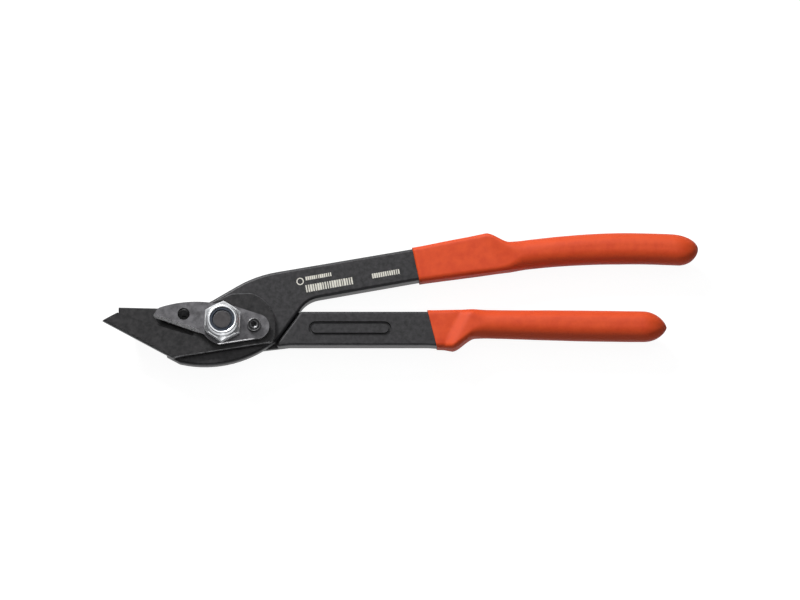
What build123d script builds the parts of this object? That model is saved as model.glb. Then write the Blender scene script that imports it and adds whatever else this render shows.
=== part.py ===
"""Steel-strap cutter: two crossed forged levers on one pivot bolt, with a pointed foot blade,
an upper blade, a strap guide plate and dipped grips.

Frame: millimetres, +Z up. The tool lies flat on its pivot bolt's head. The origin is on the
pivot axis at the bolt head's outer face, +X runs to the handles, +Y to the upper handle and
+Z to the lock nut. The jaws are closed.
"""
from build123d import *
from dataclasses import dataclass
from math import acos, cos, radians, sin, sqrt, tan
from typing import Callable
import os

os.makedirs("parts", exist_ok=True)

# ---------------------------------------------------------------- driving dimensions

# Thickness of each layer on the pivot axis, from the table up
BOLT_HEAD_HEIGHT = 7.5
WASHER_THICKNESS = 1.5
LOWER_HEAD_THICKNESS = 4.5
UPPER_HEAD_THICKNESS = 6.0
FOOT_THICKNESS = 4.0
GUIDE_THICKNESS = 3.6
NUT_HEIGHT = 12.0

# Clearances
SLIDE_GAP = 0.05            # between flat faces that slide on each other
BORE_GAP = 0.05             # radial, round a shank in its hole
HEEL_GAP = 0.4              # between the upper blade's heel and the upper handle's hub
STOP_GAP = 0.4              # between the closed handles at their stop
SHOULDER_GAP = 0.9          # between the upper head's edge and the lower bar's lap shoulder
LEDGE_GAP = 1.0             # between the closed upper blade and the upper handle's ledge

# Pivot bolt, washer and lock nut
PIVOT_DIAMETER = 12.0
HEX_ACROSS_FLATS = 1.5 * PIVOT_DIAMETER
HEX_TURN = 26.7             # of the lock nut's flats
BOLT_HEX_TURN = 37.7        # of the bolt head's flats
HEX_CHAMFER_ANGLE = 30.0    # of the cone that takes off a hexagon's corners
WASHER_DIAMETER = 24.0
NUT_HEX_HEIGHT = 8.6
NUT_CONE_HEIGHT = 1.8       # cone from the hexagon up to the collar
NUT_CONE_MARGIN = 0.3       # cone's top beyond the collar
COLLAR_WALL = 0.9           # round the insert
COLLAR_OPENING = 0.15       # beyond the pivot hole, radial
COLLAR_LIP = 0.6
COLLAR_ROUNDING = 1.0
INSERT_WALL = 0.95          # beyond the pivot hole, radial
PILOT_STEP = 0.9            # from the shank down to the bolt's end inside the insert
PILOT_CHAMFER = 0.9
PILOT_RECESS = 0.8          # end of the bolt below the nut's rim

# Upper lever's head and bar
HUB_RADIUS = 14.2
HUB_TOP_ANGLE = 114.0
HUB_SIDE_ANGLE = 170.0
BROW_ANGLE = 30.5           # head's upper edge, from the hub to the bar
BROW_RADIUS = 60.0
HEAD_LEFT_X = -22.0         # ends and lowest point of the head's round bottom edge
HEAD_LOW_X = -7.8
HEAD_LOW_Y = -20.7
HEAD_TOE_X = 20.9
HEAD_TOE_Y = -12.2
HEAD_CORNER_X = 27.2
UPPER_BAR_ANGLE = 10.1
UPPER_BAR_OFFSET = 13.95    # bar's centre line from the pivot axis
UPPER_BAR_WIDTH = 16.4
UPPER_BAR_TAPER = 0.35      # of its outer edge, widening to the head
UPPER_BAR_LENGTH = 140.3    # from the pivot to the guard's peak
SHOULDER_ANGLE = 54.0       # head's edge that crosses the lower bar
SHOULDER_OFFSET = 27.0      # that edge from the pivot axis
CROTCH_RADIUS = 14.0
HEAD_LEFT_RADIUS = 6.0
HEAD_CORNER_RADIUS = 3.0
LEDGE_END_X = -28.6
REAR_LAP_X = 4.0            # left end of the upper bar's rear half

# Lower lever's head and bar
LOWER_HEAD_RADIUS = 13.5
LOWER_BAR_OFFSET = -1.45
LOWER_BAR_WIDTH = 17.5
LOWER_BAR_LENGTH = 117.1
LOWER_FLARE = 1.6           # how far the neck's bottom edge drops to the head
LOWER_FLARE_LENGTH = 13.0
LOWER_FLARE_RADIUS = 12.0
LOWER_NECK_RADIUS = 1.5
BAR_PANEL_LENGTH = 42.3     # of the groove round the raised panel
BAR_PANEL_WIDTH = 7.3
BAR_PANEL_X = 64.9
BAR_GROOVE_WIDTH = 1.4
BAR_GROOVE_DEPTH = 1.6
BAR_GROOVE_DRAFT = 6.0

# Jaws
JAW_EDGE_ANGLE = -16.75     # closed cutting edges, from the jaws to the pivot
FOOT_EDGE_OFFSET = 10.15    # foot's cutting edge below the pivot axis
BLADE_OVERLAP = 1.35        # upper blade's edge past the foot's edge when closed
FOOT_TIP_X = -61.5
FOOT_TIP_Y = 2.0
FOOT_SOLE_ANGLE = -28.3
FOOT_NOSE_X = -53.9
FOOT_NOSE_Y = 6.1
BLADE_TIP_X = -53.4
BLADE_SPINE_Y = 9.4         # height of the upper blade's back at its tip
BLADE_SPINE_FALL = 1.0      # how much lower the back is at the heel
THROAT_X = -15.0            # inner end of the strap slot
THROAT_HEIGHT = 5.5
THROAT_RADIUS = 0.5
FOOT_EDGE_START_X = -49.3
FOOT_HUB_RADIUS = 12.5
FOOT_HUB_ANGLES = (178.0, 140.0, 108.0)
FOOT_HEEL_ANGLE = 9.1       # foot blade's lower right edge
FOOT_HEEL_OFFSET = 13.1
FOOT_CROWN = (14.5, 16.2)   # top of the foot blade's round end
FOOT_BULGE = (23.9, 9.4)
FOOT_SHOULDER = (27.0, -1.0)
FOOT_BROW = (4.4, 15.9)
FOOT_BROW_RADIUS = 6.0
FOOT_HEEL_RADIUS = 4.0
JAW_INSET = 1.0             # lower handle's jaw inside the upper blade's outline

# Guide plate
GUIDE_TIP_X = -35.9
GUIDE_TIP_Y = 3.5
GUIDE_NOSE = (-33.0, 7.8)
GUIDE_CROWN = (-20.0, 10.7)
GUIDE_NECK = (-6.25, 10.6)
GUIDE_SHOULDER = (5.4, 8.9)
GUIDE_TIP_RADIUS = 1.2
GUIDE_NOSE_RADIUS = 4.0
GUIDE_SHOULDER_RADIUS = 8.0
GUIDE_BOSS_RADIUS = 11.0
GUIDE_BOSS_ANGLES = (262.0, 235.0, 212.0)
GUIDE_TAIL_X = 17.3
GUIDE_TAIL_Y = -1.7
GUIDE_TAIL_RADIUS = 6.5
GUIDE_TAIL_ANGLES = (75.0, 0.0, -97.0)
GUIDE_BEVEL = 1.6
GUIDE_BEVEL_STOP = 3.0      # from the bevel's end to the boss
GUIDE_HOLE_X = -19.9
GUIDE_HOLE_Y = 4.7
GUIDE_HOLE_DIAMETER = 6.2

# Screws
SCREW_HOLE_SPARE = 0.3      # depth of a blind hole beyond its screw's end
GUIDE_SCREW_X = 16.0
GUIDE_SCREW_Y = -1.2
GUIDE_SCREW_DIAMETER = 4.0
GUIDE_SCREW_HEAD_DIAMETER = 7.0
GUIDE_SCREW_HEAD_HEIGHT = 4.0
GUIDE_SCREW_HEAD_ROUNDING = 0.4
GUIDE_SCREW_SOCKET = 3.0
GUIDE_SCREW_REACH = 4.5     # into the upper handle
BLADE_SCREW_DIAMETER = 4.0
BLADE_SCREW_HEAD_DIAMETER = 7.5
BLADE_SCREW_SINK = 0.1
BLADE_SCREW_SOCKET = 2.5
BLADE_SCREW_REACH = 3.8     # into the lower jaw
BLADE_SCREW_X = (-30.5, GUIDE_HOLE_X)
BLADE_SCREW_Y = 3.9

# Shanks and grips, measured along the bar from the guard's peak
SHANK_RADIUS = 5.6
SHANK_ROOT = 4.0            # straight length of the bar's end at the shank's width
SHANK_OVERLAP = 3.0         # of the round shank into it
SHANK_END_COVER = 6.0       # grip beyond the shank's end
GUARD_FALL = 12.0           # length of the slope behind the guard
GUARD_RISE = 0.8
GRIP_WALL = 0.95            # over the flat bar
GRIP_BELLY_SWELL = 1.3      # barrel's width at its belly beyond that at its neck
GRIP_BELLY_LENGTH = 60.0
GRIP_DEPTH = 16.4
GRIP_NOSE_LENGTH = 12.0
GRIP_FLAT_ROUNDNESS = 0.6   # corner radius over half depth, round the flat bar
GRIP_BARREL_ROUNDNESS = 0.82
GRIP_SIDE_STEPS = 6         # sections along each of the guard's slope and the barrel
GRIP_NOSE_STEP = 12         # degrees between the nose's sections

# Edge finishes
FORGED_EDGE = 1.1
UPPER_FRONT_EDGE = 1.5      # upper handle's front rounding
GROUND_EDGE = 0.35
FOOT_BEVEL = 1.0
PLATE_CHAMFER = 0.45        # front edges of the foot blade's heel and the guide plate's tail

# ---------------------------------------------------------------- levels and shared lines

z_washer = BOLT_HEAD_HEIGHT
z_lower_head = z_washer + WASHER_THICKNESS
z_lap = z_lower_head + LOWER_HEAD_THICKNESS
z_upper_head = z_lap + SLIDE_GAP
z_foot = z_upper_head + UPPER_HEAD_THICKNESS
z_guide = z_foot + FOOT_THICKNESS
z_nut = z_guide + GUIDE_THICKNESS
z_blade_top = z_foot - SLIDE_GAP
z_bar_middle = (z_lower_head + z_foot) / 2
bar_thickness = z_foot - z_lower_head

pivot_hole = PIVOT_DIAMETER / 2 + BORE_GAP
insert_radius = pivot_hole + INSERT_WALL
collar_radius = insert_radius + COLLAR_WALL
pilot_radius = PIVOT_DIAMETER / 2 - PILOT_STEP
upper_inner = UPPER_BAR_OFFSET - UPPER_BAR_WIDTH / 2
lower_inner = LOWER_BAR_OFFSET + LOWER_BAR_WIDTH / 2
blade_edge = FOOT_EDGE_OFFSET + BLADE_OVERLAP


def on_circle(radius: float, angle: float) -> tuple[float, float]:
    """A point on a circle about the pivot."""
    return (radius * cos(radians(angle)), radius * sin(radians(angle)))


def crossing(angle_1: float, below_1: float, angle_2: float, below_2: float) -> tuple[float, float]:
    """Where two lines meet, each given by its angle and its distance below the pivot."""
    a, b = radians(angle_1), radians(angle_2)
    turn = sin(a - b)
    return ((below_1 * cos(b) - below_2 * cos(a)) / turn, (below_1 * sin(b) - below_2 * sin(a)) / turn)


def line_at_x(x: float, angle: float, below: float) -> tuple[float, float]:
    """The point at x on a line of that angle, that far below the pivot."""
    return (x, (x * sin(radians(angle)) - below) / cos(radians(angle)))


def jaw_line(x: float, below: float) -> tuple[float, float]:
    """The point at x on a line parallel to the cutting edges."""
    return line_at_x(x, JAW_EDGE_ANGLE, below)


def jaw_line_on_circle(radius: float, below: float) -> tuple[float, float]:
    """Where a line parallel to the cutting edges meets a circle about the pivot, on the jaws' side."""
    angle = radians(270 + JAW_EDGE_ANGLE) - acos(below / radius)
    return (radius * cos(angle), radius * sin(angle))


# ---------------------------------------------------------------- shanks and grips

@dataclass(frozen=True)
class Lever:
    """What differs between the two levers' grip ends. Distances out are from the bar's inner edge."""
    place: Callable[[float, float], tuple[float, float]]
    along: tuple[float, float]
    out: tuple[float, float]
    width: float
    guard: float            # along the bar, to the guard's peak
    lip: float              # from the guard's peak back to the grip's front lip
    lip_tilt: float         # of the lip from square to the bar
    neck: float             # grip's width at its neck
    setback: float          # grip's inner side beyond the bar's, at the neck
    lean: float             # direction of the shank at the neck
    turn: float             # further turn to its end
    nose_shift: float       # outward, of the grip's rounded end
    length: float           # from the guard's peak to the grip's end

    def axis(self, distance: float) -> float:
        """How far out the shank's centre line is, that far past the guard."""
        reach = distance - GUARD_FALL
        bend = radians(self.turn) * max(reach, 0) ** 2 / (2 * (self.length - GUARD_FALL))
        return self.neck / 2 - self.setback + tan(radians(self.lean)) * reach + bend

    def at(self, distance: float, out: float) -> tuple[float, float]:
        """A point in the drawing plane, that far past the guard and that far out."""
        return self.place(self.guard + distance, out)

    def section_plane(self, distance: float, out: float) -> Plane:
        """A plane square to the bar, with its x axis pointing out."""
        centre = (*self.at(distance, out), z_bar_middle)
        return Plane(origin=centre, x_dir=(*self.out, 0), z_dir=(*self.along, 0))


def upper_place(along: float, out: float) -> tuple[float, float]:
    """A point beside the upper bar's inner edge."""
    a, across = radians(UPPER_BAR_ANGLE), upper_inner + out
    return (along * cos(a) - across * sin(a), along * sin(a) + across * cos(a))


def lower_place(along: float, out: float) -> tuple[float, float]:
    """A point beside the lower bar's inner edge."""
    return (along, lower_inner - out)


upper_lever = Lever(
    place=upper_place, along=on_circle(1, UPPER_BAR_ANGLE), out=on_circle(1, UPPER_BAR_ANGLE + 90),
    width=UPPER_BAR_WIDTH, guard=UPPER_BAR_LENGTH, lip=37.7, lip_tilt=2.0,
    neck=14.75, setback=3.05, lean=-2.0, turn=-13.0, nose_shift=1.7, length=106.4)
lower_lever = Lever(
    place=lower_place, along=(1, 0), out=(0, -1),
    width=LOWER_BAR_WIDTH, guard=LOWER_BAR_LENGTH, lip=10.2, lip_tilt=-14.2,
    neck=14.3, setback=1.5, lean=1.2, turn=-0.6, nose_shift=0.4, length=109.9)


def smooth(t: float) -> float:
    """A step from 0 to 1 that starts and ends level."""
    t = min(max(t, 0.0), 1.0)
    return t * t * (3 - 2 * t)


def nose_fraction(lever: Lever, distance: float) -> float:
    """How far into the grip's rounded end a section is, from 0 to 1."""
    return max(distance - lever.length + GRIP_NOSE_LENGTH, 0) / GRIP_NOSE_LENGTH


def grip_sides(lever: Lever, distance: float) -> tuple[float, float]:
    """The grip's inner and outer side, that far past the guard."""
    swell = GRIP_BELLY_SWELL * smooth((distance - GUARD_FALL) / GRIP_BELLY_LENGTH)
    nose = nose_fraction(lever, distance)
    half = (lever.neck + swell) / 2 * sqrt(1 - nose ** 2)
    centre = lever.axis(distance) + lever.nose_shift * nose ** 2
    if distance >= GUARD_FALL:
        return (centre - half, centre + half)
    from_lip = (distance + lever.lip) / (GUARD_FALL + lever.lip)
    inner = -GRIP_WALL + (GRIP_WALL - lever.setback) * from_lip
    crest = lever.width + GRIP_WALL + GUARD_RISE * min((distance + lever.lip) / lever.lip, 1)
    return (inner, crest + (centre + half - crest) * smooth(distance / GUARD_FALL))


def grip_half_depth(lever: Lever, distance: float) -> float:
    """Half of the grip's depth along the pivot's direction."""
    flat = bar_thickness / 2 + GRIP_WALL
    round_part = smooth((distance + GUARD_FALL / 2) / (1.5 * GUARD_FALL))
    return (flat + (GRIP_DEPTH / 2 - flat) * round_part) * sqrt(1 - nose_fraction(lever, distance) ** 2)


def grip_body(lever: Lever) -> Part:
    """The grip's outer shape as one solid, from its front lip to its rounded end."""
    flat = [-lever.lip - abs(lever.width * tan(radians(lever.lip_tilt))), -lever.lip / 2, -GUARD_FALL / 6]
    guard = [GUARD_FALL * i / GRIP_SIDE_STEPS for i in range(GRIP_SIDE_STEPS + 1)]
    barrel_length = lever.length - GRIP_NOSE_LENGTH - GUARD_FALL
    barrel = [GUARD_FALL + barrel_length * i / GRIP_SIDE_STEPS for i in range(1, GRIP_SIDE_STEPS)]
    nose = [lever.length - GRIP_NOSE_LENGTH * (1 - sin(radians(a))) for a in range(0, 90, GRIP_NOSE_STEP)]
    with BuildPart() as body:
        for distance in flat + guard + barrel + nose:
            inner, outer = grip_sides(lever, distance)
            width, depth = outer - inner, 2 * grip_half_depth(lever, distance)
            roundness = (GRIP_FLAT_ROUNDNESS + (GRIP_BARREL_ROUNDNESS - GRIP_FLAT_ROUNDNESS)
                         * smooth((distance + GUARD_FALL / 2) / (1.5 * GUARD_FALL)))
            with BuildSketch(lever.section_plane(distance, (inner + outer) / 2)):
                RectangleRounded(width, depth, roundness * min(width, depth) / 2)
        loft(ruled=True)
        lip_angle = radians(lever.lip_tilt)
        across = tuple(a * cos(lip_angle) + o * sin(lip_angle) for a, o in zip(lever.along, lever.out))
        split(bisect_by=Plane(origin=(*lever.at(-lever.lip, lever.width / 2), z_bar_middle),
                              z_dir=(*across, 0)), keep=Keep.TOP)
    return body.part


def bar_end(lever: Lever) -> list[tuple[float, float]]:
    """The bar's end under the grip, from its inner edge round to its outer edge."""
    neck = GUARD_FALL + SHANK_ROOT
    return [
        lever.at(-GUARD_FALL, 0),
        lever.at(GUARD_FALL, lever.axis(GUARD_FALL) - SHANK_RADIUS),
        lever.at(neck, lever.axis(neck) - SHANK_RADIUS),
        lever.at(neck, lever.axis(neck) + SHANK_RADIUS),
        lever.at(GUARD_FALL, lever.axis(GUARD_FALL) + SHANK_RADIUS),
        lever.at(GUARD_FALL / 6, lever.width),
        lever.at(-GUARD_RISE, lever.width + GUARD_RISE),
        lever.at(-GUARD_FALL, lever.width),
    ]


def shank(lever: Lever) -> Part:
    """The round shank under the grip, from inside the bar's end to near the grip's end."""
    start, end = GUARD_FALL + SHANK_ROOT - SHANK_OVERLAP, lever.length - SHANK_END_COVER
    stops = [start, (start + end) / 2, end]
    with BuildPart() as body:
        with BuildLine() as centre_line:
            Spline(*[(*lever.at(d, lever.axis(d)), z_bar_middle) for d in stops])
        with BuildSketch(Plane(origin=centre_line.line @ 0, z_dir=centre_line.line % 0)):
            Circle(SHANK_RADIUS)
        sweep(path=centre_line.line)
    return body.part


# ---------------------------------------------------------------- outlines

bar_outer_end = upper_lever.at(-GUARD_FALL, UPPER_BAR_WIDTH)
bar_outer_angle = UPPER_BAR_ANGLE - UPPER_BAR_TAPER
bar_outer_below = (bar_outer_end[0] * sin(radians(bar_outer_angle))
                   - bar_outer_end[1] * cos(radians(bar_outer_angle)))
sole_below = FOOT_TIP_X * sin(radians(FOOT_SOLE_ANGLE)) - FOOT_TIP_Y * cos(radians(FOOT_SOLE_ANGLE))
ledge = blade_edge + LEDGE_GAP
ledge_start = jaw_line_on_circle(HUB_RADIUS, ledge)
hub_top = on_circle(HUB_RADIUS, HUB_TOP_ANGLE)
brow_below = hub_top[0] * sin(radians(BROW_ANGLE)) - hub_top[1] * cos(radians(BROW_ANGLE))
brow = crossing(bar_outer_angle, bar_outer_below, BROW_ANGLE, brow_below)
crotch = crossing(UPPER_BAR_ANGLE, -upper_inner, SHOULDER_ANGLE, SHOULDER_OFFSET)
head_left = line_at_x(HEAD_LEFT_X, FOOT_SOLE_ANGLE, sole_below)
head_corner = line_at_x(HEAD_CORNER_X, SHOULDER_ANGLE, SHOULDER_OFFSET)


def upper_outline() -> Sketch:
    """The upper handle seen from above: hub, ledge under the foot blade, head and bar."""
    with BuildSketch() as outline:
        with BuildLine():
            ThreePointArc(hub_top, on_circle(HUB_RADIUS, HUB_SIDE_ANGLE), ledge_start)
            Polyline(ledge_start, jaw_line(LEDGE_END_X, ledge),
                     line_at_x(LEDGE_END_X, FOOT_SOLE_ANGLE, sole_below), head_left)
            ThreePointArc(head_left, (HEAD_LOW_X, HEAD_LOW_Y), (HEAD_TOE_X, HEAD_TOE_Y))
            Polyline((HEAD_TOE_X, HEAD_TOE_Y), head_corner, crotch, *bar_end(upper_lever), brow, hub_top)
        make_face()
        for corner, radius in ((crotch, CROTCH_RADIUS), (brow, BROW_RADIUS),
                               (head_left, HEAD_LEFT_RADIUS), (head_corner, HEAD_CORNER_RADIUS)):
            fillet(outline.vertices().sort_by_distance(corner)[0], radius)
    return outline.sketch


def lower_outline() -> Sketch:
    """The lower handle seen from above: jaw, round head, neck and bar."""
    jaw_tip, jaw_root = BLADE_TIP_X + 2 * JAW_INSET, -LOWER_HEAD_RADIUS / 2
    spine = BLADE_SPINE_Y - JAW_INSET
    jaw_edge = blade_edge - JAW_INSET
    bottom = lower_inner - LOWER_BAR_WIDTH
    flare_end = (HEAD_TOE_X + LOWER_FLARE_LENGTH, bottom)
    with BuildSketch() as outline:
        Circle(LOWER_HEAD_RADIUS)
        with BuildLine():
            Polyline((jaw_tip, spine), jaw_line(jaw_tip, jaw_edge), jaw_line(jaw_root, jaw_edge),
                     (jaw_root, spine - BLADE_SPINE_FALL), close=True)
        make_face()
        with BuildLine():
            Polyline((0, lower_inner), (0, bottom - LOWER_FLARE), (HEAD_TOE_X, bottom - LOWER_FLARE),
                     flare_end, *reversed(bar_end(lower_lever)), close=True)
        make_face()
        neck = (sqrt(LOWER_HEAD_RADIUS ** 2 - lower_inner ** 2), lower_inner)
        for corner, radius in ((neck, LOWER_NECK_RADIUS), (flare_end, LOWER_FLARE_RADIUS),
                               ((HEAD_TOE_X, bottom - LOWER_FLARE), LOWER_FLARE_RADIUS)):
            fillet(outline.vertices().sort_by_distance(corner)[0], radius)
    return outline.sketch


# ---------------------------------------------------------------- handles

upper_shape, upper_shank = upper_outline(), shank(upper_lever)
lower_shape, lower_shank = lower_outline(), shank(lower_lever)

with BuildPart() as upper_handle:
    with BuildSketch(Plane.XY.offset(z_upper_head)):
        add(upper_shape)
    extrude(amount=UPPER_HEAD_THICKNESS)
    with BuildSketch(Plane.XY.offset(z_lower_head)):
        add(upper_shape)
        Circle(LOWER_HEAD_RADIUS + STOP_GAP, mode=Mode.SUBTRACT)
        with Locations((REAR_LAP_X, lower_inner + STOP_GAP)):
            Rectangle(UPPER_BAR_LENGTH, UPPER_BAR_LENGTH, align=(Align.MAX, Align.MIN), mode=Mode.SUBTRACT)
        with Locations((0, lower_inner + STOP_GAP)):
            Rectangle(4 * UPPER_BAR_LENGTH, UPPER_BAR_LENGTH, align=(Align.CENTER, Align.MAX),
                      mode=Mode.SUBTRACT)
    extrude(amount=z_upper_head - z_lower_head)
    fillet(upper_handle.edges().group_by(Axis.Z)[-1], UPPER_FRONT_EDGE)
    fillet(upper_handle.edges().group_by(Axis.Z)[0], FORGED_EDGE)
    add(upper_shank)
    with Locations((0, 0, z_foot)):
        Hole(pivot_hole, depth=UPPER_HEAD_THICKNESS)
    with Locations((GUIDE_SCREW_X, GUIDE_SCREW_Y, z_foot)):
        Hole(GUIDE_SCREW_DIAMETER / 2 + BORE_GAP, depth=GUIDE_SCREW_REACH + SCREW_HOLE_SPARE)
upper_handle.part.label = "upper_handle"
export_step(upper_handle.part, "parts/upper_handle.step")

with BuildPart() as lower_handle:
    with BuildSketch(Plane.XY.offset(z_lower_head)):
        add(lower_shape)
    extrude(amount=LOWER_HEAD_THICKNESS)
    shoulder_line = (SHOULDER_ANGLE, SHOULDER_OFFSET + SHOULDER_GAP)
    shoulder_top = crossing(*shoulder_line, 0, -lower_inner)
    shoulder_foot = crossing(*shoulder_line, 0, 2 * LOWER_FLARE + LOWER_BAR_WIDTH - lower_inner)
    past_head = LOWER_HEAD_RADIUS + STOP_GAP
    with BuildSketch(Plane.XY.offset(z_lap)) as front_half:
        add(lower_shape)
        with BuildLine():
            Polyline(shoulder_top, shoulder_foot, (BLADE_TIP_X, shoulder_foot[1] - past_head),
                     (BLADE_TIP_X, past_head), (shoulder_top[0], past_head), close=True)
        make_face(mode=Mode.SUBTRACT)
        fillet(front_half.vertices().sort_by(Axis.X)[0], FORGED_EDGE)
        fillet(front_half.vertices().sort_by_distance(shoulder_top)[0], FORGED_EDGE)
    extrude(amount=z_foot - z_lap)
    fillet(lower_handle.edges().group_by(Axis.Z)[-1], FORGED_EDGE)
    fillet(lower_handle.edges().group_by(Axis.Z)[0], FORGED_EDGE)
    add(lower_shank)
    for level, depth in ((z_foot, -BAR_GROOVE_DEPTH), (z_lower_head, BAR_GROOVE_DEPTH)):
        with BuildSketch(Plane.XY.offset(level)):
            with Locations((BAR_PANEL_X, LOWER_BAR_OFFSET)):
                SlotOverall(BAR_PANEL_LENGTH, BAR_PANEL_WIDTH)
                SlotOverall(BAR_PANEL_LENGTH - 2 * BAR_GROOVE_WIDTH, BAR_PANEL_WIDTH - 2 * BAR_GROOVE_WIDTH,
                            mode=Mode.SUBTRACT)
        extrude(amount=depth, taper=BAR_GROOVE_DRAFT, mode=Mode.SUBTRACT)
    with Locations((0, 0, z_lap)):
        Hole(pivot_hole, depth=LOWER_HEAD_THICKNESS)
    with Locations(*[(x, BLADE_SCREW_Y, z_lap) for x in BLADE_SCREW_X]):
        Hole(BLADE_SCREW_DIAMETER / 2 + BORE_GAP, depth=BLADE_SCREW_REACH + SCREW_HOLE_SPARE)
lower_handle.part.label = "lower_handle"
export_step(lower_handle.part, "parts/lower_handle.step")

# ---------------------------------------------------------------- blades and guide plate

with BuildPart() as foot_blade:
    throat = jaw_line(THROAT_X, FOOT_EDGE_OFFSET)
    throat_top = (THROAT_X, throat[1] + THROAT_HEIGHT)
    heel_left = crossing(FOOT_SOLE_ANGLE, sole_below, FOOT_HEEL_ANGLE, FOOT_HEEL_OFFSET)
    heel_right = line_at_x(FOOT_SHOULDER[0], FOOT_HEEL_ANGLE, FOOT_HEEL_OFFSET)
    hub_left, hub_side, hub_right = [on_circle(FOOT_HUB_RADIUS, a) for a in FOOT_HUB_ANGLES]
    with BuildSketch(Plane.XY.offset(z_foot)) as foot_outline:
        with BuildLine():
            Polyline((FOOT_TIP_X, FOOT_TIP_Y), (FOOT_NOSE_X, FOOT_NOSE_Y),
                     jaw_line(FOOT_EDGE_START_X, FOOT_EDGE_OFFSET), throat, throat_top,
                     hub_left)
            ThreePointArc(hub_left, hub_side, hub_right)
            Polyline(hub_right, FOOT_BROW, FOOT_CROWN)
            ThreePointArc(FOOT_CROWN, FOOT_BULGE, FOOT_SHOULDER)
            Polyline(FOOT_SHOULDER, heel_right, heel_left, (FOOT_TIP_X, FOOT_TIP_Y))
        make_face()
        for corner, radius in ((heel_right, FOOT_HEEL_RADIUS), (FOOT_BROW, FOOT_BROW_RADIUS),
                               (throat, THROAT_RADIUS)):
            fillet(foot_outline.vertices().sort_by_distance(corner)[0], radius)
    extrude(amount=FOOT_THICKNESS)
    sole_middle = ((FOOT_TIP_X + heel_left[0]) / 2, (FOOT_TIP_Y + heel_left[1]) / 2, z_guide)
    sole = foot_blade.edges().group_by(Axis.Z)[-1].sort_by_distance(sole_middle)[0]
    chamfer(sole, FOOT_BEVEL)
    heel_edges = foot_blade.edges().group_by(Axis.Z)[-1].sort_by(Axis.X)[-4:]
    chamfer(heel_edges, PLATE_CHAMFER)
    with Locations((0, 0, z_guide)):
        Hole(pivot_hole, depth=FOOT_THICKNESS)
    with Locations((GUIDE_SCREW_X, GUIDE_SCREW_Y, z_guide)):
        Hole(GUIDE_SCREW_DIAMETER / 2 + BORE_GAP, depth=FOOT_THICKNESS)
foot_blade.part.label = "foot_blade"
export_step(foot_blade.part, "parts/foot_blade.step")

with BuildPart() as upper_blade:
    heel_radius = HUB_RADIUS + HEEL_GAP
    heel_bottom = jaw_line_on_circle(heel_radius, blade_edge)
    heel_y = BLADE_SPINE_Y - BLADE_SPINE_FALL
    heel_top = (-sqrt(heel_radius ** 2 - heel_y ** 2), heel_y)
    with BuildSketch(Plane.XY.offset(z_lap)):
        with BuildLine():
            Polyline(heel_top, (BLADE_TIP_X, BLADE_SPINE_Y), jaw_line(BLADE_TIP_X, blade_edge), heel_bottom)
            ThreePointArc(heel_bottom, (-heel_radius, 0), heel_top)
        make_face()
    extrude(amount=z_blade_top - z_lap)
    chamfer(upper_blade.edges().group_by(Axis.Z)[-1].sort_by(Axis.Y)[-1], GROUND_EDGE)
    with Locations(*[(x, BLADE_SCREW_Y, z_blade_top) for x in BLADE_SCREW_X]):
        CounterSinkHole(radius=BLADE_SCREW_DIAMETER / 2 + BORE_GAP,
                        counter_sink_radius=BLADE_SCREW_HEAD_DIAMETER / 2 + BLADE_SCREW_SINK,
                        counter_sink_angle=90)
upper_blade.part.label = "upper_blade"
export_step(upper_blade.part, "parts/upper_blade.step")

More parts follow.
